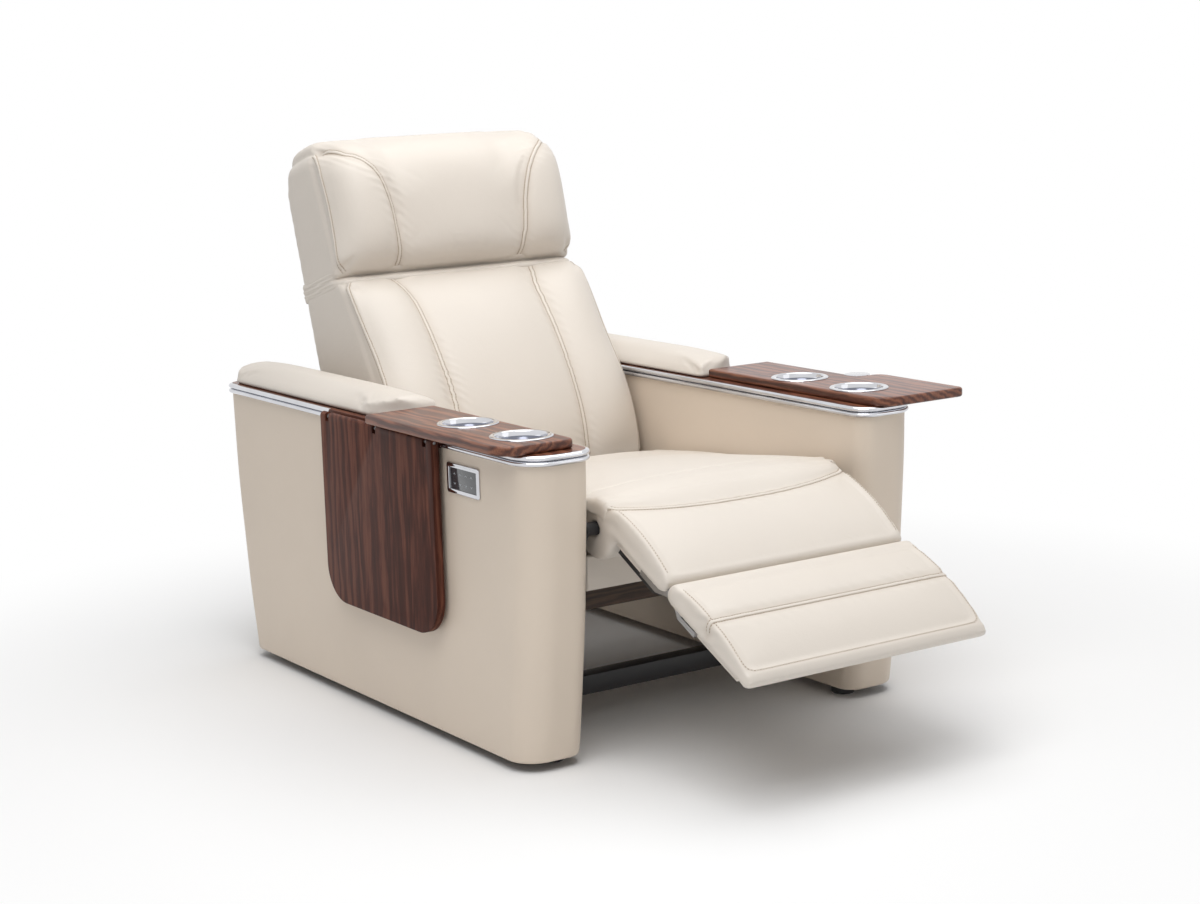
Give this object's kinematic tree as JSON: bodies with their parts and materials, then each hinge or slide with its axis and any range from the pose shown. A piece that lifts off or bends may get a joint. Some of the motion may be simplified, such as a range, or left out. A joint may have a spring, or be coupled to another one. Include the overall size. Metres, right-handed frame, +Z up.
{
  "type": "recliner",
  "caption": "Power recliner with leather cushions, hollow arms under wooden trays with cup holders, a side drop leaf, a two-panel footrest, a reclining back and a tilting headrest.",
  "frame": {"origin": "middle of the bounding box's footprint, on the floor", "axes": "+Z up, the chair faces -Y, +X is the side of the sitter's left hand; Y is the longest extent"},
  "size_m": [0.995, 1.5546, 1.0694],
  "materials": {
    "leather_cream": "semi-matte cream leather over foam",
    "walnut": "red-brown walnut veneer, lacquered",
    "polished_chrome": "polished",
    "dark_glass": "dark touch glass",
    "black_steel": "black powder coat",
    "bright_steel": "zinc plated",
    "plywood": "raw plywood",
    "hardwood": "planed hardwood",
    "black_rubber": "moulded",
    "black_plastic": "fine texture"
  },
  "bodies": {
    "base": {"glides": "black_plastic", "arm_frame_left": "hardwood", "arm_frame_right": "hardwood", "arm_shell_left": "leather_cream", "arm_shell_right": "leather_cream", "arm_board_left": "plywood", "arm_board_right": "plywood", "chrome_band_left": "polished_chrome", "chrome_band_right": "polished_chrome", "tray_left": "walnut", "tray_right": "walnut", "tray_post": "polished_chrome", "cup_holders_left": "polished_chrome", "cup_holders_right": "polished_chrome", "arm_pad_left": "leather_cream", "arm_pad_right": "leather_cream", "leaf_rail": "walnut", "leaf_hinge": "bright_steel", "control_bezel": "polished_chrome", "control_glass": "dark_glass", "control_box": "black_plastic", "side_plates": "black_steel", "pivot_pins": "bright_steel", "seat_frame": "hardwood", "seat_springs": "bright_steel", "seat_cushion": "leather_cream", "apron": "leather_cream", "cross_rail": "hardwood", "base_tube_front": "black_steel", "base_tube_rear": "black_steel", "actuator_board": "plywood", "leg_actuator": "black_plastic", "back_actuator": "black_plastic"},
    "back": {"back_shell": "leather_cream", "back_board": "plywood", "back_steel": "black_steel", "back_cushion": "leather_cream", "back_bolster_left": "leather_cream", "back_bolster_right": "leather_cream", "neck_brackets": "bright_steel"},
    "headrest": {"head_shell": "leather_cream", "head_board": "plywood", "head_lugs": "bright_steel", "head_cushion": "leather_cream", "head_wing_left": "leather_cream", "head_wing_right": "leather_cream"},
    "legrest": {"leg_pad": "leather_cream", "leg_board": "leather_cream", "leg_arms": "black_steel", "leg_lugs": "bright_steel"},
    "footrest": {"foot_pad": "leather_cream", "foot_board": "leather_cream", "foot_lugs": "bright_steel", "foot_bumpers": "black_rubber"},
    "leg_rod": {"leg_rod": "bright_steel"},
    "back_rod": {"back_rod": "bright_steel"},
    "side_leaf": {"side_leaf": "walnut"}
  },
  "joints": [
    {"name": "back_recline", "type": "hinge", "parent": "base", "child": "back", "pos_m": [-0.0275, 0.36926, 0.39], "axis": [-1, 0, 0], "range_deg": [-12, 25]},
    {"name": "headrest_tilt", "type": "hinge", "parent": "back", "child": "headrest", "pos_m": [-0.0275, 0.55244, 0.78416], "axis": [1, 0, 0], "range_deg": [0, 20]},
    {"name": "legrest_lift", "type": "hinge", "parent": "base", "child": "legrest", "pos_m": [-0.0275, -0.34074, 0.418], "axis": [-1, 0, 0], "range_deg": [-40, 12]},
    {"name": "footrest_fold", "type": "hinge", "parent": "legrest", "child": "footrest", "pos_m": [-0.0275, -0.57002, 0.338], "axis": [-1, 0, 0], "range_deg": [-76, 22.8]},
    {"name": "leg_rod_stroke", "type": "slide", "parent": "base", "child": "leg_rod", "axis": [0, -1, 0], "range_m": [-0.0852, 0.0256]},
    {"name": "back_rod_stroke", "type": "slide", "parent": "base", "child": "back_rod", "axis": [0, -1, 0], "range_m": [-0.0259, 0.0539]},
    {"name": "side_leaf_swing", "type": "hinge", "parent": "base", "child": "side_leaf", "pos_m": [-0.4755, -0.40074, 0.562], "axis": [0, 1, 0], "range_deg": [0, 90]}
  ],
  "couplings": [
    {"joint": "footrest_fold", "follows": "legrest_lift", "ratio": 1.9},
    {"joint": "leg_rod_stroke", "follows": "legrest_lift", "m_per_rad": 0.12187},
    {"joint": "back_rod_stroke", "follows": "back_recline", "m_per_rad": 0.12337}
  ]
}
